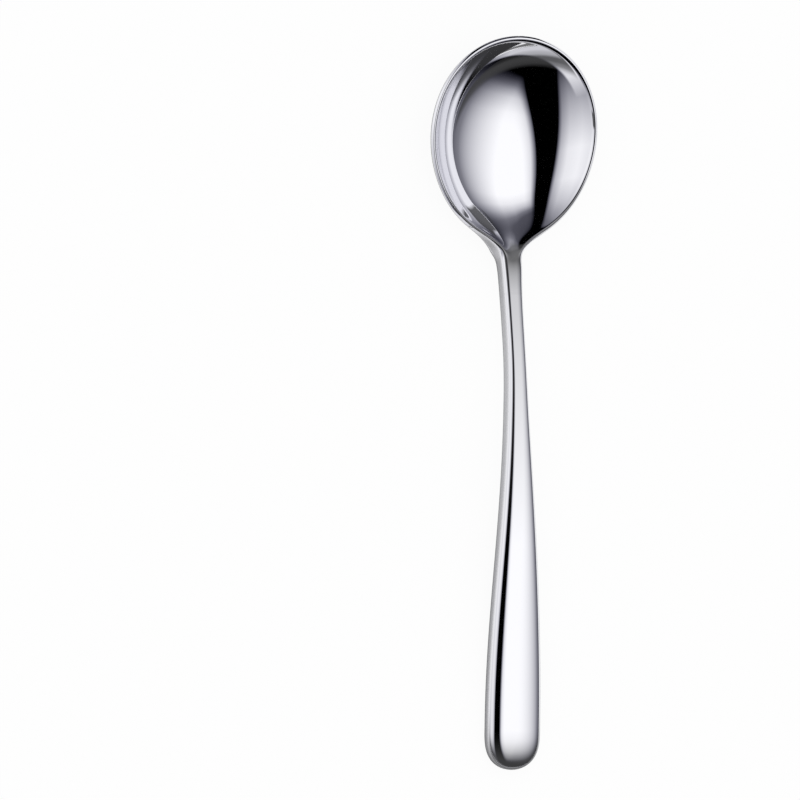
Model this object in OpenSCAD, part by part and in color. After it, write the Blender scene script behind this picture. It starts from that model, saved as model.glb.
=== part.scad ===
// Round soup spoon with a hollow handle, in millimetres.
// A forged bowl ends in a tang. Two pressed half shells close over the tang as the handle.
// One weld closes the joint at the neck and another the seam along the handle.
// The spoon lies on a table along X, bowl towards -X, hollow side up, and rests at z = 0.
// A place along it is u, the distance from the bowl's tip.
// A place across it is s, from -1 at one edge to 1 at the other.

/* [Spoon] */
// Length from the middle of the rim at the bowl's tip to the end of the handle
spoon_len = 199.7; // [185:0.1:220]

/* [Bowl] */
// Length of the bowl, from its tip to where its outline would close at the neck
bowl_len = 55.6; // [50:0.2:60]
// Width of the bowl between the middles of its rim
bowl_w = 50.8; // [44:0.2:58]
// Distance from the tip to the widest place of the bowl
bowl_widest_at = 26.4; // [25:0.1:27.5]
// Depth of the bowl below its rim
bowl_depth = 11.0; // [10:0.1:15]
// Share of the bowl's curve that turns up late, so that the wall stands steeper at the rim
wall_lift = 0.45; // [0.2:0.05:0.7]
// Thickness of the bowl's wall
bowl_t = 1.6; // [1.2:0.1:2.2]
// Width of the flat on the rim between its two rounded corners
rim_flat = 0.5; // [0.3:0.1:0.8]
// Reach of the rim's rounded corners, measured in from the edge
rim_round = 0.8; // [0.5:0.1:1.2]
// Fall of the rim towards the neck, in degrees
rim_fall = 7; // [4:0.5:10]

/* [Neck] */
// Length over which the outline leaves the bowl's curve, before the bowl's end
root_len = 5.0; // [3:0.1:7]
// Length of the flare from the bowl's end to the plain stem
flare_len = 5.4; // [3.5:0.1:8]
// Width at the end of the flare
neck_w = 6.6; // [6:0.05:9]
// Distance before the bowl's end where the rim leaves its straight fall and dips to the neck
dip_before = 8.5; // [6:0.5:12]
// Height of the neck's top below the top of the rim, at the middle of the bowl
neck_drop = 2.8; // [2.2:0.1:4]
// Distance of that low place past the bowl's end
neck_low_past = 4; // [2.5:0.5:6]
// Slope of the stem as it leaves the neck, in degrees
neck_rise = 2; // [1:0.5:5]
// Distance before the bowl's end where its wall starts to thicken into the neck
thicken_before = 5; // [3:0.5:8]
// Distance past the bowl's end where it has the stem's thickness
thicken_past = 5; // [3:0.5:8]
// Distance past the bowl's end up to which the rim's crisp edge runs on along the neck
edge_past = 2; // [1:0.5:4]
// Length over which that edge then opens into the stem's rounded section
edge_len = 4; // [3:0.5:7]
// Width of the heel, where the stem's back runs in under the bowl
heel_w = 20; // [14:0.5:26]
// Distance before the bowl's end where the heel fades out under the bowl
heel_before = 14; // [11:0.5:17]
// Distance past the bowl's end where the heel starts on the stem's back
heel_past = 8; // [6:0.5:10]
// Distance before the bowl's end where the floor of the hollow leaves the dish and climbs to the stem
ramp_before = 11; // [8:0.5:14]
// Distance past the bowl's end where that climb runs out on the stem
ramp_past = 10; // [7:0.5:12]
// How far the hollow flattens towards its edges on that climb: 0 keeps the curve of the dish
throat_flat = 0.2; // [0:0.05:0.4]

/* [Stem] */
// Width of the stem where it is narrowest
stem_w = 5.5; // [5:0.1:7]
// Distance of the narrowest place past the bowl's end
stem_past = 27; // [22:1:32]
// Thickness of the stem
stem_t = 5.4; // [4.6:0.1:6.4]
// How square the stem's section is: 2 is an ellipse, and more is squarer
stem_square = 3.1; // [2.4:0.1:4]
// Height of the arch of the stem above the table, over its top
arch_h = 12.4; // [11:0.1:15]
// Distance of the top of the arch past the bowl's end
arch_past = 43.5; // [38:0.5:52]

/* [Handle] */
// Width of the handle where it is widest
grip_w = 16.2; // [13:0.1:19]
// Thickness of the handle there
grip_t = 6.8; // [6:0.1:9]
// Distance from the widest place to the end of the handle
grip_back = 14; // [12:0.5:20]
// How square the handle's section is: 2 is an ellipse, and more is squarer
grip_square = 2.6; // [2.2:0.1:3.2]
// Length over which the handle's end rounds off
nose_len = 11; // [9:0.5:12]
// Fall of the handle's end towards the table, in degrees
end_fall = 4.5; // [2:0.5:7]

/* [Construction] */
// Thickness of the handle's shells
shell_t = 0.8; // [0.6:0.05:1]
// Width of the weld between the two shells
seam_w = 0.5; // [0.3:0.05:0.8]
// Distance of the joint between bowl and handle past the bowl's end
joint_past = 14; // [11:0.5:18]
// Width of the weld round that joint
joint_w = 0.8; // [0.5:0.1:1.5]
// Length of the tang inside the handle, past the weld
tang_len = 14; // [8:0.5:20]
// Clearance round the tang
tang_gap = 0.1; // [0.05:0.05:0.2]

/* [Hidden] */

// Colours of the polished steel and of the ground welds
steel_colour = "#c9ccd1";
weld_colour = "#b9bdc4";

// Steps from one edge of a section to the other, and from row to row along the spoon
across_steps = 24;
neck_step = 1.5;
handle_step = 5;
tip_steps = 16;
nose_steps = 9;
// The first row lies this many degrees round the tip, and the last this share along the nose
tip_cut = 3;
nose_cut = 0.9995;
// Short steps for slopes, and steps in the search for the lowest places
slope_step = 0.02;
search_step = 0.25;
// The rim's corners are quarter ellipses
rim_square = 2;

// Places along the spoon
bowl_mid = bowl_len / 2;
root_at = bowl_len - root_len;
flare_at = bowl_len + flare_len;
stem_at = bowl_len + stem_past;
arch_at = bowl_len + arch_past;
neck_low_at = bowl_len + neck_low_past;
joint_at = bowl_len + joint_past;
mouth_at = joint_at + joint_w;
grip_at = spoon_len - grip_back;
nose_at = spoon_len - nose_len;
ramp_at = bowl_len - ramp_before;
ramp_end = bowl_len + ramp_past;
dip_at = bowl_len - dip_before;
heel_at = bowl_len - heel_before;
heel_end = bowl_len + heel_past;

// The wall thickens to the stem between the first two, and its edge opens between the others
thicken_from = bowl_len - thicken_before;
thicken_to = bowl_len + thicken_past;
edge_from = bowl_len + edge_past;
edge_to = edge_from + edge_len;

// Steps that start and end level, the second without a jump in its bend, for polished faces
function share(u, from, to) = min(1, max(0, (u - from) / (to - from)));
function ease_between(u, from, to) = let (k = share(u, from, to)) k * k * (3 - 2 * k);
function blend_between(u, from, to) = let (k = share(u, from, to)) k ^ 3 * (10 - 15 * k + 6 * k * k);

// A station of a line is [place, value, slope, bend], and a curve joins two stations smoothly
function station(line, u) =
    let (a = line(u - slope_step), b = line(u), c = line(u + slope_step))
    [u, b, (c - a) / (2 * slope_step), (a - 2 * b + c) / slope_step ^ 2];
function curve(a, b, u) =
    let (h = b[0] - a[0], t = (u - a[0]) / h, r = 1 - t)
    r ^ 3 * (a[1] * (1 + 3 * t + 6 * t * t) + a[2] * h * t * (1 + 3 * t) + a[3] * h * h * t * t / 2)
    + t ^ 3 * (b[1] * (1 + 3 * r + 6 * r * r) - b[2] * h * r * (1 + 3 * r) + b[3] * h * h * r * r / 2);

// Half-width: an egg curve round the bowl, a fillet at its root, a flare, then the handle
function along_bowl(u) = (u - bowl_mid) / bowl_mid;
function egg_half(u) =
    let (x = along_bowl(u), lean = 1 - bowl_widest_at / bowl_mid)
    bowl_w / 2 * sqrt(max(0, 1 - x * x)) * (1 - lean * x);
// Past the fillet the flare dies away as a cube towards the narrowest place
function flare_half(u) = (stem_w + (neck_w - stem_w) * ((stem_at - u) / (stem_at - flare_at)) ^ 3) / 2;
root_plan = station(function (u) egg_half(u), root_at);
flare_plan = station(function (u) flare_half(u), flare_at);
function plain_half(u) =
    u < root_at ? egg_half(u)
    : u < flare_at ? curve(root_plan, flare_plan, u)
    : u < stem_at ? flare_half(u)
    : stem_w / 2 + (grip_w - stem_w) / 2 * ease_between(u, stem_at, grip_at);

// Share of the full section that is left where the handle's end rounds off
function nose(u) = sqrt(1 - max(0, (u - nose_at) / nose_len) ^ 3);

// How far the bowl's thin wall has turned into the stem, with the thickness, flat and squareness there
function round_share(u) = blend_between(u, thicken_from, thicken_to);
function thickness(u) =
    u < stem_at ? bowl_t + (stem_t - bowl_t) * round_share(u)
    : stem_t + (grip_t - stem_t) * ease_between(u, stem_at, grip_at);
function edge_flat(u) = rim_flat + (seam_w - rim_flat) * round_share(u);
function squareness(u) =
    u < stem_at ? rim_square + (stem_square - rim_square) * round_share(u)
    : stem_square + (grip_square - stem_square) * ease_between(u, stem_at, grip_at);

// Depth of the bowl's dish below the rim along its middle, from second and fourth powers
function dish(u) = let (x2 = along_bowl(u) ^ 2) bowl_depth * (1 - x2) * (1 + wall_lift * x2);

// Height of the spoon's top line: rim, neck, arch and the handle's end
// The bowl's lowest place and the underside of the handle's end both lie on the table
function rim_line(u) = -tan(rim_fall) * (u - bowl_mid);
rim_top = bowl_t - min([for (u = [0 : search_step : bowl_len]) rim_line(u) - dish(u)]);
function end_line(u) = -tan(end_fall) * (u - grip_at);
function end_half(u) = seam_w / 2 + (grip_t - seam_w) / 2 * nose(u);
grip_top = grip_t / 2
    - min([for (u = [grip_at : search_step : spoon_len]) end_line(u) - end_half(u)]);
dip_station = [dip_at, rim_top + rim_line(dip_at), -tan(rim_fall), 0];
neck_station = [neck_low_at, rim_top - neck_drop, tan(neck_rise), 0];
arch_station = [arch_at, arch_h, 0, 0];
grip_station = [grip_at, grip_top, -tan(end_fall), 0];
function top_line(u) =
    u < dip_at ? rim_top + rim_line(u)
    : u < neck_low_at ? curve(dip_station, neck_station, u)
    : u < arch_at ? curve(neck_station, arch_station, u)
    : u < grip_at ? curve(arch_station, grip_station, u)
    : grip_top + end_line(u);

// Height of the hollow's floor, which leaves the dish and climbs until it runs out on the stem
function dish_line(u) = rim_top + rim_line(u) - dish(u);
ramp_foot = station(function (u) dish_line(u), ramp_at);
ramp_head = station(function (u) top_line(u), ramp_end);
function floor_line(u) =
    u < ramp_at ? dish_line(u) : u < ramp_end ? curve(ramp_foot, ramp_head, u) : top_line(u);

// Depth of the hollow below the top line, which ends in the rim at both edges
function depth(s, u) =
    let (x2 = min(1, along_bowl(u) ^ 2), r2 = x2 + (1 - x2) * s * s)
    let (power = 1 + throat_flat * blend_between(u, ramp_at, bowl_len))
    (top_line(u) - floor_line(u)) * max(0, 1 - s * s) ^ power
    * (1 + wall_lift * r2) / (1 + wall_lift * x2);

// The middle surface, and its upward normal from two short steps
function middle(s, u, half) =
    [u - spoon_len / 2, half * s, top_line(u) - thickness(u) / 2 - depth(s, u)];
function on_middle(s, u) = middle(s, u, plain_half(u) * nose(u));
function unit(v) = v / norm(v);
function upward(s, u) =
    let (ua = max(0, u - slope_step), ub = min(spoon_len, u + slope_step))
    let (sa = max(-1, s - slope_step), sb = min(1, s + slope_step))
    unit(cross(on_middle(s, ub) - on_middle(s, ua), on_middle(sb, u) - on_middle(sa, u)));

// Share of the half-thickness that is left near the edge
// Round the bowl's tip the edge is also ahead, so the distance to it counts both ways
function edge_share(s, u) =
    let (x2 = u < bowl_mid ? along_bowl(u) ^ 2 : 0, q = sqrt(x2 + (1 - x2) * s * s))
    let (half = u < bowl_mid ? bowl_w / 2 : plain_half(u))
    let (reach = rim_round + (half - rim_round) * blend_between(u, edge_from, edge_to))
    let (t = min(1, max(0, 1 - (1 - q) * half / reach)), n = squareness(u))
    (1 - t ^ n) ^ (1 / n);

// Height of the heel, whose back runs smoothly from the stem to the bowl and fades out across them
heel_foot = station(function (u) dish_line(u) - bowl_t, heel_at);
heel_head = station(function (u) top_line(u) - stem_t, heel_end);
function heel(s, u) =
    let (y = abs(s) * plain_half(u), reach = min(heel_w / 2, plain_half(u)))
    u < heel_at || u > heel_end ? 0
    : (floor_line(u) - thickness(u) - curve(heel_foot, heel_head, u))
      * max(0, 1 - (y / reach) ^ 2) ^ 2;

// A point of the outer skin, or of a skin that lies inset within it, on the upper or lower side
function skin_point(s, u, side, inset, left) =
    let (half = (plain_half(u) - inset) * left, flat = edge_flat(u) / 2)
    let (rise = flat + (thickness(u) / 2 - inset - flat) * left * edge_share(s, u))
    middle(s, u, half) + side * rise * upward(s, u) - [0, 0, side < 0 ? heel(s, u) : 0];
function across(i) = -cos(180 * i / across_steps);
function skin(u, side, inset = 0, left = 1) =
    [for (i = [0 : across_steps]) skin_point(across(i), u, side, inset, left)];
function reversed(list) = [for (i = [len(list) - 1 : -1 : 0]) list[i]];

// A closed section runs across one skin and back along another
function section(upper, lower) = concat(upper, reversed(lower));
function outer_section(u) = section(skin(u, 1), skin(u, -1));
function inset_section(u, inset) = section(skin(u, 1, inset), skin(u, -1, inset));

// Rows of the bowl, closer at its tip, and rows of the handle, closer at its end
tip_rows = [for (i = [0 : tip_steps])
    bowl_mid * (1 - cos(tip_cut + (90 - tip_cut) * i / tip_steps))];
neck_steps = ceil((joint_at - bowl_mid) / neck_step);
neck_rows = [for (i = [1 : neck_steps]) bowl_mid + (joint_at - bowl_mid) * i / neck_steps];
shell_steps = ceil((nose_at - mouth_at) / handle_step);
shell_rows = [for (i = [0 : shell_steps]) mouth_at + (nose_at - mouth_at) * i / shell_steps];
nose_rows = [for (i = [1 : nose_steps]) nose_at + nose_len * nose_cut * sin(90 * i / nose_steps)];
handle_rows = concat(shell_rows, nose_rows);

// The cavity's rows keep the shell's thickness at the handle's end
cavity_scale = (spoon_len - shell_t - mouth_at) / (spoon_len - mouth_at);
function cavity_row(u) = mouth_at + (u - mouth_at) * cavity_scale;
function wall_skin(u, side) = skin(u, side, 0, nose(u));
function cavity_skin(u, side) = skin(cavity_row(u), side, shell_t, nose(u));

// A solid through rows of equal sections, capped across from skin to skin or closed on itself
module loft(rows, ring = false) {
    n = len(rows[0]);
    m = len(rows);
    last = (m - 1) * n;
    sides = [for (r = [0 : ring ? m - 1 : m - 2]) for (i = [0 : n - 1])
        let (a = r * n + i, b = r * n + (i + 1) % n)
        let (c = ((r + 1) % m) * n + (i + 1) % n, d = ((r + 1) % m) * n + i)
        each [[a, b, c], [a, c, d]]];
    caps = [for (i = [0 : n / 2 - 2])
        let (j = n - 1 - i)
        each [[i, j, j - 1], [i, j - 1, i + 1],
              [last + i, last + i + 1, last + j - 1], [last + i, last + j - 1, last + j]]];
    polyhedron([for (row = rows) each row], ring ? sides : concat(sides, caps));
}

// Forged bowl with its neck and the tang that the handle closes over
module bowl() {
    tang_inset = shell_t + tang_gap;
    color(steel_colour) loft(concat(
        [for (u = concat(tip_rows, neck_rows)) outer_section(u)],
        [for (u = [joint_at, mouth_at, mouth_at + tang_len]) inset_section(u, tang_inset)]));
}

// Weld ground flush round the joint between the bowl's shoulder and the handle's mouth
module joint_weld() {
    color(weld_colour) loft([outer_section(joint_at), outer_section(mouth_at),
        inset_section(mouth_at, shell_t), inset_section(joint_at, shell_t)], ring = true);
}

// Pressed upper half of the handle
module handle_front_shell() {
    color(steel_colour) loft([for (u = handle_rows) section(wall_skin(u, 1), cavity_skin(u, 1))]);
}

// Pressed lower half of the handle
module handle_back_shell() {
    color(steel_colour) loft([for (u = handle_rows) section(cavity_skin(u, -1), wall_skin(u, -1))]);
}

// Weld ground flush along both sides of the handle and round its end
module seam_weld() {
    function strip(u, i) =
        [wall_skin(u, 1)[i], cavity_skin(u, 1)[i], cavity_skin(u, -1)[i], wall_skin(u, -1)[i]];
    near_side = [for (u = handle_rows) strip(u, 0)];
    far_side = [for (u = reversed(handle_rows)) strip(u, across_steps)];
    color(weld_colour) loft(concat(near_side, far_side));
}

bowl();
joint_weld();
handle_front_shell();
handle_back_shell();
seam_weld();
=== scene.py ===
# %% [markdown]
# # A round soup spoon with a hollow handle
# The real spoon is five pieces of stainless steel: a forged bowl with a tang, two pressed
# half shells that close over the tang, and the two welds that join them. All of it is
# polished to a mirror, so the picture shows little but reflections, and a reflection shows
# every bump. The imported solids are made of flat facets. Here each one gets a finer skin of
# the same shape, a steel finish, and a studio that is worth reflecting.

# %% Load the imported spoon
import functools
import math

import bmesh
import bpy
from mathutils import Matrix, Vector


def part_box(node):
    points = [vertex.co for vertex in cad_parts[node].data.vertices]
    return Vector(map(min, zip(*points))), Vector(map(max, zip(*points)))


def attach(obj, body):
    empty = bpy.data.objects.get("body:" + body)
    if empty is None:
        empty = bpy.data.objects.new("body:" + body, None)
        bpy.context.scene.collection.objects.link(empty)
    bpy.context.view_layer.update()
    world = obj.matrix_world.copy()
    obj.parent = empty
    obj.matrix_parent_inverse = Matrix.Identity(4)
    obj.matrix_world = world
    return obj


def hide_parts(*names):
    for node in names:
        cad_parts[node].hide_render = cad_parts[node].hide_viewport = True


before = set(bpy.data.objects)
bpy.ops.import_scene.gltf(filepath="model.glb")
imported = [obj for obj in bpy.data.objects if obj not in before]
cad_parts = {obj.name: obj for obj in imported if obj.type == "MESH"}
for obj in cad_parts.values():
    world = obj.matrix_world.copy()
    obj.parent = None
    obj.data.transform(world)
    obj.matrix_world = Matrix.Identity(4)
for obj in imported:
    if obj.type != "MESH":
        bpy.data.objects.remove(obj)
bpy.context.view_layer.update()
print("nodes:", sorted(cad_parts))

# %% [markdown]
# ## The spoon's lines
# A spoonmaker's drawing is a plan, a side line and a few sections. It could be traced by hand
# with curves, but then each change would have to be traced again. So the drawing is written as
# short functions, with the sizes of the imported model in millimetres. A place along the spoon is
# u, counted from the bowl's tip, and a place across it is s, from -1 to 1.

# %% Sizes of the bowl and the neck
spoon_len = 199.7
bowl_len, bowl_w, bowl_widest_at = 55.6, 50.8, 26.4
bowl_depth, wall_lift, bowl_t = 11.0, 0.45, 1.6
rim_flat, rim_round, rim_fall = 0.5, 0.8, math.tan(math.radians(7))
root_len, flare_len, neck_w = 5.0, 5.4, 6.6
dip_before, neck_drop, neck_low_past = 8.5, 2.8, 4
neck_rise = math.tan(math.radians(2))
thicken_before, thicken_past, edge_past, edge_len = 5, 5, 2, 4
heel_w, heel_before, heel_past = 20, 14, 8
ramp_before, ramp_past, throat_flat = 11, 10, 0.2
print("bowl of", bowl_len, "by", bowl_w, "mm, neck", neck_w, "mm wide")

# %% Sizes of the stem, the handle and the joints
stem_w, stem_past, stem_t, stem_square = 5.5, 27, 5.4, 3.1
arch_h, arch_past = 12.4, 43.5
grip_w, grip_t, grip_back, grip_square = 16.2, 6.8, 14, 2.6
nose_len, end_fall = 11, math.tan(math.radians(4.5))
shell_t, seam_w = 0.8, 0.5
joint_past, joint_w, tang_len, tang_gap = 14, 0.8, 14, 0.1

bowl_mid = bowl_len / 2
stem_at = bowl_len + stem_past
joint_at = bowl_len + joint_past
mouth_at = joint_at + joint_w
grip_at = spoon_len - grip_back
nose_at = spoon_len - nose_len
print("joint at", joint_at, "mm, handle from", mouth_at, "to", spoon_len, "mm")

# %% Steps and curves that a polished face can follow
# A station is a place on a line with its height, slope and bend. A curve joins two stations with no
# jump in any of the three, because a mirror shows such a jump as a kink.
SHORT = 0.02


def share(u, start, end):
    return min(1, max(0, (u - start) / (end - start)))


def ease(u, start, end):
    k = share(u, start, end)
    return k * k * (3 - 2 * k)


def blend(u, start, end):
    k = share(u, start, end)
    return k ** 3 * (10 - 15 * k + 6 * k * k)


def station(line, u):
    a, b, c = line(u - SHORT), line(u), line(u + SHORT)
    return u, b, (c - a) / (2 * SHORT), (a - 2 * b + c) / SHORT ** 2


def curve(a, b, u):
    h = b[0] - a[0]
    t = (u - a[0]) / h
    r = 1 - t
    first = a[1] * (1 + 3 * t + 6 * t * t) + a[2] * h * t * (1 + 3 * t) + a[3] * h * h * t * t / 2
    second = b[1] * (1 + 3 * r + 6 * r * r) - b[2] * h * r * (1 + 3 * r) + b[3] * h * h * r * r / 2
    return r ** 3 * first + t ** 3 * second


print("half way, a blend gives", blend(0.5, 0, 1), "and a quarter of the way", round(blend(0.25, 0, 1), 3))

# %% The plan: an egg, a fillet at the neck, a flare and the handle
def along_bowl(u):
    return (u - bowl_mid) / bowl_mid


def egg_half(u):
    x = along_bowl(u)
    lean = 1 - bowl_widest_at / bowl_mid
    return bowl_w / 2 * math.sqrt(max(0, 1 - x * x)) * (1 - lean * x)


def flare_half(u):
    left = (stem_at - u) / (stem_at - bowl_len - flare_len)
    return (stem_w + (neck_w - stem_w) * left ** 3) / 2


ROOT = station(egg_half, bowl_len - root_len)
FLARE = station(flare_half, bowl_len + flare_len)


@functools.lru_cache(None)
def plain_half(u):
    if u < ROOT[0]:
        return egg_half(u)
    if u < FLARE[0]:
        return curve(ROOT, FLARE, u)
    if u < stem_at:
        return flare_half(u)
    return stem_w / 2 + (grip_w - stem_w) / 2 * ease(u, stem_at, grip_at)


def nose(u):
    return math.sqrt(1 - max(0, (u - nose_at) / nose_len) ** 3)


print("half-width at the bowl, neck and grip:", [round(plain_half(u), 2) for u in (26, 61, grip_at)])


# %% The section: a thin wall that turns into a rounded bar
@functools.lru_cache(None)
def round_share(u):
    return blend(u, bowl_len - thicken_before, bowl_len + thicken_past)


def between(bowl_value, stem_value, grip_value, u):
    if u < stem_at:
        return bowl_value + (stem_value - bowl_value) * round_share(u)
    return stem_value + (grip_value - stem_value) * ease(u, stem_at, grip_at)


@functools.lru_cache(None)
def thickness(u):
    return between(bowl_t, stem_t, grip_t, u)


@functools.lru_cache(None)
def squareness(u):
    return between(2, stem_square, grip_square, u)


@functools.lru_cache(None)
def half_flat(u):
    return between(rim_flat, seam_w, seam_w, u) / 2


print("thickness at the bowl, stem and grip:", [round(thickness(u), 2) for u in (26, stem_at, grip_at)])

# %% The side line: rim, dip, neck, arch and the handle's end
def dish(u):
    x2 = along_bowl(u) ** 2
    return bowl_depth * (1 - x2) * (1 + wall_lift * x2)


def rim_line(u):
    return -rim_fall * (u - bowl_mid)


SEARCH_STEP = 0.25


def lowest(line, start, end):
    steps = int((end - start) / SEARCH_STEP)
    return min(line(start + SEARCH_STEP * i) for i in range(steps + 1))


def end_low(u):
    return -end_fall * (u - grip_at) - seam_w / 2 - (grip_t - seam_w) / 2 * nose(u)


rim_top = bowl_t - lowest(lambda u: rim_line(u) - dish(u), 0, bowl_len)
grip_top = grip_t / 2 - lowest(end_low, grip_at, spoon_len)
DIP = (bowl_len - dip_before, rim_top + rim_line(bowl_len - dip_before), -rim_fall, 0)
NECK = (bowl_len + neck_low_past, rim_top - neck_drop, neck_rise, 0)
ARCH = (bowl_len + arch_past, arch_h, 0, 0)
GRIP = (grip_at, grip_top, -end_fall, 0)


@functools.lru_cache(None)
def top_line(u):
    if u < DIP[0]:
        return rim_top + rim_line(u)
    for a, b in ((DIP, NECK), (NECK, ARCH), (ARCH, GRIP)):
        if u < b[0]:
            return curve(a, b, u)
    return grip_top - end_fall * (u - grip_at)


print("rim, neck, arch and grip heights:", [round(v, 2) for v in (rim_top, NECK[1], arch_h, grip_top)])


# %% The hollow's floor and the heel under the neck
def dish_line(u):
    return rim_top + rim_line(u) - dish(u)


FOOT = station(dish_line, bowl_len - ramp_before)
HEAD = station(top_line, bowl_len + ramp_past)
HEEL_FOOT = station(lambda u: dish_line(u) - bowl_t, bowl_len - heel_before)
HEEL_HEAD = station(lambda u: top_line(u) - stem_t, bowl_len + heel_past)


@functools.lru_cache(None)
def floor_line(u):
    if u < FOOT[0]:
        return dish_line(u)
    return curve(FOOT, HEAD, u) if u < HEAD[0] else top_line(u)


def depth(s, u):
    x2 = min(1, along_bowl(u) ** 2)
    r2 = x2 + (1 - x2) * s * s
    power = 1 + throat_flat * blend(u, bowl_len - ramp_before, bowl_len)
    hollow = (top_line(u) - floor_line(u)) * max(0, 1 - s * s) ** power
    return hollow * (1 + wall_lift * r2) / (1 + wall_lift * x2)


def heel(s, u):
    if u < HEEL_FOOT[0] or u > HEEL_HEAD[0]:
        return 0
    reach = min(heel_w / 2, plain_half(u))
    fade = max(0, 1 - (s * plain_half(u) / reach) ** 2) ** 2
    return (floor_line(u) - thickness(u) - curve(HEEL_FOOT, HEEL_HEAD, u)) * fade


print("depth of the hollow and of the heel at the neck:", round(depth(0, 26), 2), round(heel(0, bowl_len), 2))

# %% [markdown]
# ## From lines to a skin
# The drawing gives a middle surface. The upper and lower skins stand off it along its own
# upright direction, by half the thickness, less near the edge where the section is rounded.
# A solidify could do that with one thickness, but this wall grows from 1.6 mm at the rim to
# 6.8 mm at the grip, so each point is placed by the drawing.

# %% A point of the skin
def middle(s, u, half):
    return Vector((u - spoon_len / 2, half * s, top_line(u) - thickness(u) / 2 - depth(s, u)))


def on_middle(s, u):
    return middle(s, u, plain_half(u) * nose(u))


def upward(s, u):
    along = on_middle(s, min(spoon_len, u + SHORT)) - on_middle(s, max(0, u - SHORT))
    sideways = on_middle(min(1, s + SHORT), u) - on_middle(max(-1, s - SHORT), u)
    return along.cross(sideways).normalized()


def edge_share(s, u):
    x2 = along_bowl(u) ** 2 if u < bowl_mid else 0
    half = bowl_w / 2 if u < bowl_mid else plain_half(u)
    edge_from = bowl_len + edge_past
    reach = rim_round + (half - rim_round) * blend(u, edge_from, edge_from + edge_len)
    t = min(1, max(0, 1 - (1 - math.sqrt(x2 + (1 - x2) * s * s)) * half / reach))
    return (1 - t ** squareness(u)) ** (1 / squareness(u))


def skin_point(s, u, side, inset=0, left=1):
    flat = half_flat(u)
    rise = flat + (thickness(u) / 2 - inset - flat) * left * edge_share(s, u)
    point = middle(s, u, (plain_half(u) - inset) * left) + side * rise * upward(s, u)
    if side < 0:
        point.z -= heel(s, u)
    return point / 1000


print("tip of the bowl in metres:", tuple(round(v, 5) for v in skin_point(0, 0.01, 1)))

# %% [markdown]
# ## Rolling a sheet onto sections
# A forging or a pressing can be seen as a sheet rolled round a row of sections. Drawing the
# faces by hand would be long and easy to get wrong. Blender's grid has them all already, so
# one grid is bent onto the sections: its columns go round and its rows go along. Merging the
# doubles closes the roll, and filling the holes closes its ends.

# %% Steps across a section and a helper that rolls a grid
MERGE_REACH, SHARP_FROM = 2e-7, math.radians(40)


def across(i, steps, u):
    c = math.cos(math.pi * i / steps)
    return -math.copysign(abs(c) ** (2 / squareness(u)), c)


def skin(u, side, steps, inset=0, left=1):
    return [skin_point(across(i, steps, u), u, side, inset, left) for i in range(steps + 1)]


def rolled(name, sections):
    mesh = bpy.data.meshes.new(name)
    bm = bmesh.new()
    rows, columns = len(sections), len(sections[0])
    bmesh.ops.create_grid(bm, x_segments=rows - 1, y_segments=columns, size=1)
    for vert in bm.verts:
        row = round((vert.co.x + 1) / 2 * (rows - 1))
        column = round((vert.co.y + 1) / 2 * columns) % columns
        vert.co = sections[row][column]
    bmesh.ops.remove_doubles(bm, verts=bm.verts, dist=MERGE_REACH)
    bmesh.ops.holes_fill(bm, edges=bm.edges, sides=0)
    bmesh.ops.recalc_face_normals(bm, faces=bm.faces)
    open_edges = sum(not edge.is_manifold for edge in bm.edges)
    print(name, "faces", len(bm.faces), "open edges", open_edges, "mm3", round(bm.calc_volume() * 1e9, 1))
    bm.to_mesh(mesh)
    bm.free()
    mesh.shade_smooth()
    mesh.set_sharp_from_angle(angle=SHARP_FROM)
    piece = bpy.data.objects.new(name, mesh)
    bpy.context.scene.collection.objects.link(piece)
    return piece


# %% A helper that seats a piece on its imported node
def seat(piece, node):
    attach(piece, "root")
    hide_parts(node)
    low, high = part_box(node)
    corners = [Vector(corner) for corner in piece.bound_box]
    off = max(max(abs(min(c[k] for c in corners) - low[k]), abs(max(c[k] for c in corners) - high[k]))
              for k in range(3))
    print(piece.name, "stands for", node, "and its box is off by", round(off * 1000, 3), "mm")


# %% [markdown]
# ## The forged bowl
# The bowl, its neck and the tang are one forging. A sphere cut in half would give a bowl, but not
# the egg-shaped plan, the dip of the rim or the heel. The rolled sheet takes its rows close
# together at the tip, where the rim turns fast, and steps in at the joint for the tang.

# %% Make the bowl
BOWL_ACROSS, TIP_ROWS, NECK_ROWS = 96, 64, 84
tip_angles = [math.radians(1 + 89 * i / TIP_ROWS) for i in range(TIP_ROWS + 1)]
bowl_rows = [bowl_mid * (1 - math.cos(angle)) for angle in tip_angles]
bowl_rows += [bowl_mid + (joint_at - bowl_mid) * i / NECK_ROWS for i in range(1, NECK_ROWS + 1)]


def closed(u, inset=0):
    return skin(u, 1, BOWL_ACROSS, inset) + skin(u, -1, BOWL_ACROSS, inset)[::-1]


tang_inset = shell_t + tang_gap
tang_rows = (joint_at, mouth_at, mouth_at + tang_len)
bowl = rolled("forged_bowl", [closed(u) for u in bowl_rows] + [closed(u, tang_inset) for u in tang_rows])
seat(bowl, "bowl")

# %% [markdown]
# ## The weld at the neck
# A narrow ring of weld metal closes the joint between the bowl's shoulder and the mouth of the
# handle. It is ground flush, so its outside is the spoon's own skin. Its sections go along the
# outside and back along the inside, and are rolled up so that the last one meets the first.

# %% Make the joint weld
RING_ROWS = 4
outside = [closed(joint_at + joint_w * i / RING_ROWS) for i in range(RING_ROWS + 1)]
ring = outside + [closed(mouth_at, shell_t), closed(joint_at, shell_t)]
joint_weld = rolled("neck_joint_weld", ring + ring[:1])
seat(joint_weld, "joint_weld")

# %% [markdown]
# ## The two handle shells
# Each half of the handle is pressed from 0.8 mm sheet. The sheet has an outer skin and a cavity,
# and both round off at the end of the handle. A section goes across the outside and comes back
# along the inside, and the rows come closer together over the rounded end.

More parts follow.
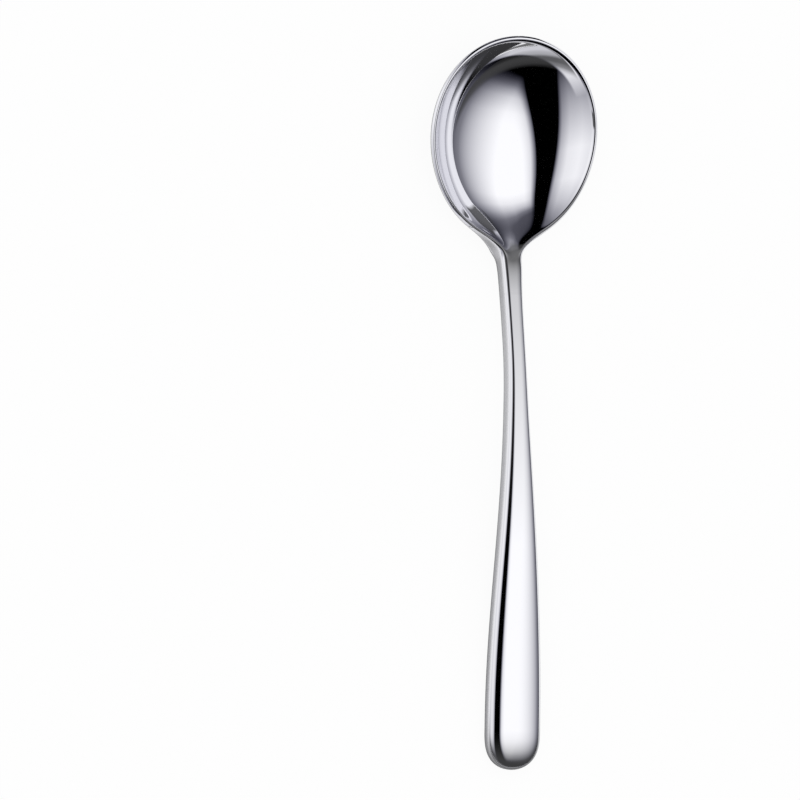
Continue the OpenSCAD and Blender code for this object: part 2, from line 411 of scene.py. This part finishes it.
# %% Make the front and back shells
# The last row stops just short of the end, where the section would shrink to nothing.
SHELL_ACROSS, HANDLE_ROWS, NOSE_ROWS, NOSE_REACH = 64, 90, 32, nose_len * 0.9999
shell_rows = [mouth_at + (nose_at - mouth_at) * i / HANDLE_ROWS for i in range(HANDLE_ROWS + 1)]
shell_rows += [nose_at + NOSE_REACH * math.sin(math.pi / 2 * i / NOSE_ROWS) for i in range(1, NOSE_ROWS + 1)]
cavity_scale = (spoon_len - shell_t - mouth_at) / (spoon_len - mouth_at)


def wall(u, side):
    return skin(u, side, SHELL_ACROSS, 0, nose(u))


def cavity(u, side):
    return skin(mouth_at + (u - mouth_at) * cavity_scale, side, SHELL_ACROSS, shell_t, nose(u))


front_shell = rolled("front_shell", [wall(u, 1) + cavity(u, 1)[::-1] for u in shell_rows])
seat(front_shell, "handle_front_shell")
back_shell = rolled("back_shell", [wall(u, -1) + cavity(u, -1)[::-1] for u in shell_rows])
seat(back_shell, "handle_back_shell")

# %% [markdown]
# ## The seam weld
# The two shells meet edge to edge, and a half-millimetre bead fills the seam along one side,
# round the end and back along the other. It is ground flush too. Its section has four corners,
# taken from the edges of the two shells, so it fits between them without a gap.

# %% Make the seam weld
def bead(u, edge):
    return [wall(u, 1)[edge], cavity(u, 1)[edge], cavity(u, -1)[edge], wall(u, -1)[edge]]


seam_rows = [bead(u, 0) for u in shell_rows] + [bead(u, SHELL_ACROSS) for u in reversed(shell_rows)]
seam_weld = rolled("shell_seam_weld", seam_rows)
seat(seam_weld, "seam_weld")

# %% [markdown]
# ## Steel finishes
# Table steel is 18/10 stainless. Buffing takes out the forging and pressing marks and leaves a
# mirror, with a faint haze and hair lines of a few hundredths of a millimetre. A flat grey
# would look like plastic, and a perfect mirror like glass, so the gloss and the surface vary a
# little. The welds are the same steel, ground flush, and a touch softer in their gloss.

# %% Colour and node helpers
def linear(hex_colour):
    values = [int(hex_colour[i:i + 2], 16) / 255 for i in (1, 3, 5)]
    return tuple(v / 12.92 if v <= 0.04045 else ((v + 0.055) / 1.055) ** 2.4 for v in values) + (1,)


def add(tree, kind, settings=(), links=()):
    node = tree.nodes.new(kind)
    for key, value in dict(settings).items():
        if key == "stops":
            for _ in value[2:]:
                node.color_ramp.elements.new(1)
            for element, (position, level) in zip(node.color_ramp.elements, value):
                element.position = position
                element.color = (level, level, level, 1)
        elif key in node.inputs.keys() or isinstance(key, int):
            node.inputs[key].default_value = value
        else:
            setattr(node, key, value)
    for key, socket in dict(links).items():
        tree.links.new(socket, node.inputs[key])
    return node


# %% Mirror-polished and ground steel
# The haze comes from the buffing wheel's passes, about 18 mm wide. The hair lines run along the
# spoon. They are drawn at about half a millimetre, much coarser than real, so that they show.
# A noise seldom leaves the range from 0.3 to 0.7, so the haze is spread over that.
HAZE_MM, LINE_STRETCH = 18, 0.06
NOISE_LOW, NOISE_HIGH = 0.3, 0.7


def polished_steel(name, hex_colour, gloss, haze, line_mm, line_depth):
    material = bpy.data.materials.new(name)
    material.use_nodes = True
    tree = material.node_tree
    steel = tree.nodes["Principled BSDF"]
    place = add(tree, "ShaderNodeTexCoord").outputs["Object"]
    smear = add(tree, "ShaderNodeTexNoise", {"Scale": 1000 / HAZE_MM, "Detail": 3}, {"Vector": place})
    span = add(tree, "ShaderNodeMapRange",
               {"From Min": NOISE_LOW, "From Max": NOISE_HIGH, "To Min": gloss, "To Max": gloss + haze},
               {"Value": smear.outputs["Fac"]})
    stretch = add(tree, "ShaderNodeMapping", {"Scale": (LINE_STRETCH, 1, 1)}, {"Vector": place})
    lines = add(tree, "ShaderNodeTexNoise", {"Scale": 1000 / line_mm, "Detail": 2},
                {"Vector": stretch.outputs["Vector"]})
    bump = add(tree, "ShaderNodeBump", {"Strength": 1, "Distance": line_depth},
               {"Height": lines.outputs["Fac"]})
    tree.links.new(span.outputs["Result"], steel.inputs["Roughness"])
    tree.links.new(bump.outputs["Normal"], steel.inputs["Normal"])
    steel.inputs["Base Color"].default_value = linear(hex_colour)
    steel.inputs["Metallic"].default_value = 1
    return material


mirror = polished_steel("stainless_steel_mirror_buffed", "#E9E9ED",
                        gloss=0.02, haze=0.02, line_mm=0.6, line_depth=1e-8)
ground = polished_steel("stainless_steel_weld_ground_flush", "#E6E6EA",
                        gloss=0.03, haze=0.02, line_mm=0.5, line_depth=2e-8)
for piece, finish in ((bowl, mirror), (front_shell, mirror), (back_shell, mirror),
                      (joint_weld, ground), (seam_weld, ground)):
    piece.data.materials.append(finish)
    print(piece.name, "is finished in", finish.name)

# %% [markdown]
# ## The table
# Cutlery is photographed on white paper. A backdrop could be a curved sweep, but seen from above a
# flat sheet fills the picture. Light Path makes the sheet nearly white for the camera, so only a
# faint shadow is left on it. The steel sees the same sheet with a painted shade: an ambient occlusion
# node darkens its glow close to the spoon, and that draws the grey line along the spoon's lower edges.

# %% The sheet of paper
PAPER_SIZE, SHADE_REACH, SHADE_POWER = 6, 0.03, 3
WHITE_FOR_CAMERA, WHITE_IN_STEEL = 0.93, 0.9
bpy.ops.mesh.primitive_plane_add(size=PAPER_SIZE, location=(0, 0, 0))
table = bpy.context.object
table.name = "table_top"
paper = bpy.data.materials.new("white_paper_matt")
paper.use_nodes = True
tree = paper.node_tree
sheet = tree.nodes["Principled BSDF"]
sheet.inputs["Base Color"].default_value = linear("#F6F6F6")
sheet.inputs["Roughness"].default_value = 0.9
path = add(tree, "ShaderNodeLightPath")
in_steel = add(tree, "ShaderNodeMath", {"operation": "MULTIPLY", 1: WHITE_IN_STEEL},
               {0: path.outputs["Is Glossy Ray"]})
white_share = add(tree, "ShaderNodeMath", {"operation": "MULTIPLY_ADD", 1: WHITE_FOR_CAMERA},
                  {0: path.outputs["Is Camera Ray"], 2: in_steel.outputs[0]})
# Painted shade: ambient occlusion darkens the sheet's glow close to the spoon. The camera sees the glow at
# full white, and the steel sees it with this painted shade.
near = add(tree, "ShaderNodeAmbientOcclusion", {"samples": 8, "Distance": SHADE_REACH})
shade = add(tree, "ShaderNodeMath", {"operation": "POWER", 1: SHADE_POWER}, {0: near.outputs["AO"]})
glow_with_painted_shade = add(tree, "ShaderNodeMath", {"operation": "MAXIMUM"},
             {0: shade.outputs[0], 1: path.outputs["Is Camera Ray"]})
white = add(tree, "ShaderNodeEmission", {}, {"Strength": glow_with_painted_shade.outputs[0]})
seen_sheet = add(tree, "ShaderNodeMixShader", {},
                 {0: white_share.outputs[0], 1: sheet.outputs[0], 2: white.outputs[0]})
tree.links.new(seen_sheet.outputs[0], tree.nodes["Material Output"].inputs["Surface"])
table.data.materials.append(paper)
print("table top of", paper.name)

# %% A soft lamp for the paper
sun_data = bpy.data.lights.new("soft_overhead_lamp", "SUN")
sun_data.energy = 0.9
sun_data.angle = math.radians(60)
sun = bpy.data.objects.new("soft_overhead_lamp", sun_data)
sun.rotation_euler = (math.radians(30), 0, 0)
sun.visible_glossy = False
bpy.context.scene.collection.objects.link(sun)
print("lamp of strength", sun_data.energy, "that the steel doesn't show")

# %% [markdown]
# ## The studio in the steel
# A mirror has no colour of its own to show: it shows the room. Here that is one large soft
# light above and behind the spoon, a black card in front of it, a paler panel low in front and
# a board past the handle. They could be lamps and cards of mesh, but a world that goes by
# direction gives the same reflections with no edges to place. A direction is told by two angles:
# lean, from straight up towards the front, and turn, towards the handle. The strengths below are a
# few round numbers for each light. They were found by tracing reflections and comparing greys with
# the photograph, and were then rounded.

# %% Two angles for a direction
world = bpy.data.worlds.new("studio")
bpy.context.scene.world = world
world.use_nodes = True
tree = world.node_tree
tree.nodes.clear()
ray = add(tree, "ShaderNodeTexCoord").outputs["Generated"]
part = add(tree, "ShaderNodeSeparateXYZ", {}, {"Vector": ray})
front = add(tree, "ShaderNodeMath", {"operation": "MULTIPLY", 1: -1}, {0: part.outputs["Y"]})
lean = add(tree, "ShaderNodeMath", {"operation": "ARCTAN2"}, {0: front.outputs[0], 1: part.outputs["Z"]})
turn = add(tree, "ShaderNodeMath", {"operation": "ARCSINE"}, {0: part.outputs["X"]})
print("a direction is read from", ray.name, "as lean and turn")

# %% The soft light's front edge, straight towards the bowl, slanted and rounded towards the handle
EDGE_FROM, EDGE_LONG, CORNER_LONG = math.radians(-14), math.radians(21), math.radians(60)
BEND_AT, BEND_LONG, EDGE_SLANT = math.radians(-15), math.radians(30), 0.3
past_neck = add(tree, "ShaderNodeMath", {"operation": "SMOOTH_MAX", 1: BEND_AT, 2: BEND_LONG},
                {0: turn.outputs[0]})
slanted = add(tree, "ShaderNodeMath", {"operation": "MULTIPLY_ADD", 1: EDGE_SLANT},
              {0: past_neck.outputs[0], 2: lean.outputs[0]})
forward = add(tree, "ShaderNodeMapRange",
              {"From Min": EDGE_FROM, "From Max": EDGE_FROM + 2 * EDGE_LONG, "To Max": 2},
              {"Value": slanted.outputs[0]})
corner = add(tree, "ShaderNodeMapRange", {"From Min": 0, "From Max": 2 * CORNER_LONG, "To Max": 2},
             {"Value": turn.outputs[0]})
corner_square = add(tree, "ShaderNodeMath", {"operation": "MULTIPLY"},
                    {0: corner.outputs[0], 1: corner.outputs[0]})
front_edge = add(tree, "ShaderNodeMath", {"operation": "MULTIPLY_ADD"},
                 {0: forward.outputs[0], 1: forward.outputs[0], 2: corner_square.outputs[0]})
print("soft light's front edge is about", round(math.degrees(EDGE_FROM + EDGE_LONG)), "degrees to the front")

# %% The slants of its back and its neck side, and of the board past the handle
BACK_SLANT, SIDE_SLANT, SIDE_SLANT_FROM, BOARD_SLANT = -0.15, 0.2, math.radians(-20), 0.3
back_lean = add(tree, "ShaderNodeMath", {"operation": "MULTIPLY_ADD", 1: BACK_SLANT},
                {0: turn.outputs[0], 2: lean.outputs[0]})
backward = add(tree, "ShaderNodeMath", {"operation": "MINIMUM", 1: SIDE_SLANT_FROM}, {0: lean.outputs[0]})
neck_side = add(tree, "ShaderNodeMath", {"operation": "MULTIPLY_ADD", 1: SIDE_SLANT},
                {0: backward.outputs[0], 2: turn.outputs[0]})
board_edge = add(tree, "ShaderNodeMath", {"operation": "MULTIPLY_ADD", 1: BOARD_SLANT},
                 {0: part.outputs["Y"], 2: part.outputs["Z"]})
print("slants of the back, the neck side and the board:", BACK_SLANT, SIDE_SLANT, BOARD_SLANT)

# %% How each light fades: by degrees, or by hundredths where its measure isn't an angle
BY_DEGREES, BY_HUNDREDTHS = math.radians(1), 0.01
fades = {
    "soft_light_back": (back_lean, BY_DEGREES, ((-90, 0.05), (-70, 0.2), (-50, 0.6), (-30, 1))),
    "soft_light_edge": (front_edge, BY_HUNDREDTHS, ((10, 1), (45, 0.75), (70, 0.3), (95, 0))),
    "soft_light_tip_side": (turn, BY_DEGREES, ((25, 1), (35, 0.8), (45, 0.3), (55, 0))),
    "soft_light_neck_side": (neck_side, BY_DEGREES, ((-80, 0.04), (-60, 0.08), (-55, 0.18), (-48, 0.55),
                                                     (-40, 0.85), (-30, 1))),
    "low_panel": (lean, BY_DEGREES, ((30, 0), (35, 0.5), (45, 0.82), (60, 0.9), (75, 0.75))),
    "low_panel_sides": (turn, BY_DEGREES, ((-70, 0.25), (-25, 1), (0, 1), (65, 0.1))),
    "end_board": (board_edge, BY_HUNDREDTHS, ((23, 0.6), (26, 0))),
    "end_board_side": (turn, BY_DEGREES, ((40, 0), (60, 1))),
}
WIDE = 100
level = {}
for fade, (measure, unit, stops) in fades.items():
    spread = add(tree, "ShaderNodeMapRange", {"From Min": -WIDE * unit, "From Max": WIDE * unit},
                 {"Value": measure.outputs[0]})
    places = [(0.5 + at / (2 * WIDE), strength) for at, strength in stops]
    ramp = add(tree, "ShaderNodeValToRGB", {"stops": places}, {"Fac": spread.outputs["Result"]})
    level[fade] = ramp.outputs["Color"]
    print(fade, "goes from", stops[0], "to", stops[-1])

# %% The lights together, a little cooler where they are dim
STUDIO_STRENGTH, COOLER, ROOM_LEVEL = 1.2, 0.92, 0.7
back_and_edge = add(tree, "ShaderNodeMath", {"operation": "MULTIPLY"},
                    {0: level["soft_light_back"], 1: level["soft_light_edge"]})
both_sides = add(tree, "ShaderNodeMath", {"operation": "MULTIPLY"},
                 {0: level["soft_light_tip_side"], 1: level["soft_light_neck_side"]})
soft_light = add(tree, "ShaderNodeMath", {"operation": "MULTIPLY"},
                 {0: back_and_edge.outputs[0], 1: both_sides.outputs[0]})
with_panel = add(tree, "ShaderNodeMath", {"operation": "MULTIPLY_ADD"},
                 {0: level["low_panel"], 1: level["low_panel_sides"], 2: soft_light.outputs[0]})
together = add(tree, "ShaderNodeMath", {"operation": "MULTIPLY_ADD"},
               {0: level["end_board"], 1: level["end_board_side"], 2: with_panel.outputs[0]})
cool = add(tree, "ShaderNodeMath", {"operation": "POWER", 1: COOLER}, {0: together.outputs[0]})
colour = add(tree, "ShaderNodeCombineColor", {},
             {"Red": together.outputs[0], "Green": together.outputs[0], "Blue": cool.outputs[0]})
studio = add(tree, "ShaderNodeBackground", {"Strength": STUDIO_STRENGTH}, {"Color": colour.outputs["Color"]})
path = add(tree, "ShaderNodeLightPath")
room = add(tree, "ShaderNodeMath", {"operation": "MULTIPLY_ADD", 1: 1 - ROOM_LEVEL, 2: ROOM_LEVEL},
           {0: path.outputs["Is Camera Ray"]})
plain = add(tree, "ShaderNodeBackground", {"Color": linear("#FFFFFF")}, {"Strength": room.outputs[0]})
seen = add(tree, "ShaderNodeMixShader", {},
           {0: path.outputs["Is Glossy Ray"], 1: plain.outputs[0], 2: studio.outputs[0]})
add(tree, "ShaderNodeOutputWorld", {}, {"Surface": seen.outputs[0]})
bpy.context.scene.view_settings.view_transform = "Standard"
print("the steel sees", len(level), "fades, and all else a plain white room of", ROOM_LEVEL)

# %% [markdown]
# ## Scrims over the stem, the end and the rim
# In the photograph the neck is dark, the stem is greyer than the grip, and the end of the handle
# darkens towards its tip. A world goes by direction, so it can't light one place less than another.
# A photographer hangs thin grey cloth close by for that, and so does this scene. A small piece just
# over the back rim keeps a second reflection out of the throat. The cloth is seen in the steel only.

# %% A helper that hangs a level scrim and says how much light it lets through along its length
CLOTH_GREY = 0.06


def hang_scrim(name, low, high, stops):
    bpy.ops.mesh.primitive_plane_add(size=1)
    scrim = bpy.context.object
    scrim.name = name
    low, high = Vector(low), Vector(high)
    size = Matrix.Diagonal((high.x - low.x, high.y - low.y, 1, 1))
    scrim.data.transform(Matrix.Translation((low + high) / 2) @ size)
    scrim.visible_camera = False
    scrim.visible_diffuse = False
    scrim.visible_shadow = False
    cloth = bpy.data.materials.new(name + "_thin_grey_cloth")
    cloth.use_nodes = True
    tree = cloth.node_tree
    place = add(tree, "ShaderNodeTexCoord").outputs["Object"]
    part = add(tree, "ShaderNodeSeparateXYZ", {}, {"Vector": place})
    along = add(tree, "ShaderNodeMapRange", {"From Min": low.x, "From Max": high.x},
                {"Value": part.outputs["X"]})
    through = add(tree, "ShaderNodeValToRGB", {"stops": stops}, {"Fac": along.outputs["Result"]})
    thin = add(tree, "ShaderNodeBsdfTransparent", {}, {"Color": through.outputs["Color"]})
    own = add(tree, "ShaderNodeMath", {"operation": "MULTIPLY_ADD", 1: -CLOTH_GREY, 2: CLOTH_GREY},
              {0: through.outputs["Color"]})
    grey = add(tree, "ShaderNodeEmission", {}, {"Strength": own.outputs[0]})
    seen_cloth = add(tree, "ShaderNodeAddShader", {}, {0: thin.outputs[0], 1: grey.outputs[0]})
    tree.links.new(seen_cloth.outputs[0], tree.nodes["Material Output"].inputs["Surface"])
    scrim.data.materials.append(cloth)
    print(name, "hangs", low.z, "m above the table, from", low.x, "to", high.x)


# %% Hang the scrims, each from its low corner to its high corner
hang_scrim("scrim_over_stem", (-0.062, -0.015, 0.022), (0.04, 0.06, 0.022),
           ((0, 1), (0.04, 0.3), (0.1, 0.1), (0.18, 0.1), (0.3, 0.6), (1, 1)))
hang_scrim("scrim_over_end", (0.09, -0.2, 0.012), (0.4, 0.2, 0.012),
           ((0, 1), (0.01, 0.9), (0.03, 0.4), (0.05, 0.1), (1, 0.05)))
hang_scrim("scrim_past_end", (0.086, -0.3, 0.0004), (0.6, 0.3, 0.0004),
           ((0, 1), (0.04, 0.15), (1, 0.1)))
hang_scrim("scrim_over_rim", (-0.0785, 0.0205, 0.015), (-0.0735, 0.0245, 0.015),
           ((0, 1), (0.2, 0.1), (0.8, 0.1), (1, 1)))

# %% [markdown]
# ## The camera
# The photograph looks down on the spoon from its side, 28 degrees off the vertical, with the
# bowl at the top of the picture. Both ends of the spoon look equally large in it, so the lens is
# a long one, far away.

# %% Place the camera
view_lean = math.radians(28)
view_roll = math.radians(1.2)
to_camera = Vector((0, -math.sin(view_lean), math.cos(view_lean)))
image_right = Vector((0, math.cos(view_lean), math.sin(view_lean)))
image_up = Vector((-1, 0, 0))
distance = 4
PIXELS_PER_MM, IMAGE_PIXELS = 3.661, 800
frame_width = IMAGE_PIXELS / PIXELS_PER_MM / 1000
UP_OFF, RIGHT_OFF = 0.0017, -0.02705
centre = image_up * UP_OFF + image_right * RIGHT_OFF
camera_data = bpy.data.cameras.new("camera")
camera_data.angle = 2 * math.atan(frame_width / 2 / distance)
camera = bpy.data.objects.new("camera", camera_data)
right = image_right * math.cos(view_roll) - image_up * math.sin(view_roll)
up = image_up * math.cos(view_roll) + image_right * math.sin(view_roll)
bpy.context.scene.collection.objects.link(camera)
turned = Matrix((right, up, to_camera)).transposed().to_4x4()
camera.matrix_world = Matrix.Translation(centre + to_camera * distance) @ turned
bpy.context.scene.camera = camera
print("camera at", tuple(round(v, 3) for v in camera.location))
